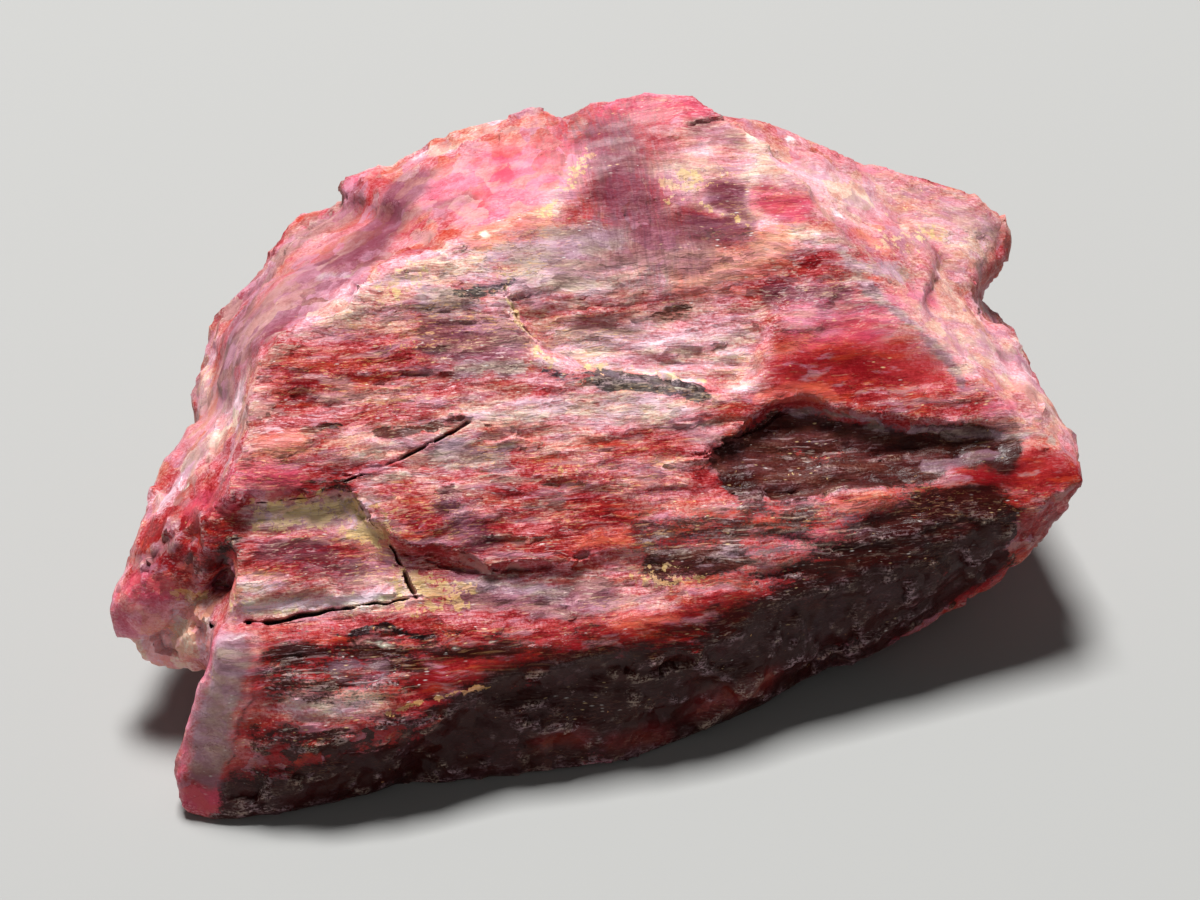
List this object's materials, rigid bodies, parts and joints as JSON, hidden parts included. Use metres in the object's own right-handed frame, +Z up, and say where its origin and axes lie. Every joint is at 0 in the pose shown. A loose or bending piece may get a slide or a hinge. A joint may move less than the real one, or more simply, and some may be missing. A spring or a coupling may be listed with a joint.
{
  "type": "rhodonite crystal",
  "caption": "Rough gem crystal of pink to raspberry-red rhodonite, a cleavage fragment with one broad fibrous face, broken ledges and a flat underside to rest on.",
  "frame": {"origin": "middle of the stone's bounding box, on the surface that it rests on", "axes": "+X along the stone's longest side, +Z up; -Y is the side of the broad fibrous face"},
  "size_m": [0.036, 0.025, 0.0172],
  "materials": {
    "rhodonite": "fresh break, vitreous to satin, fibrous along the grain"
  },
  "bodies": {
    "root": {"rhodonite_crystal": "rhodonite"}
  },
  "joints": []
}
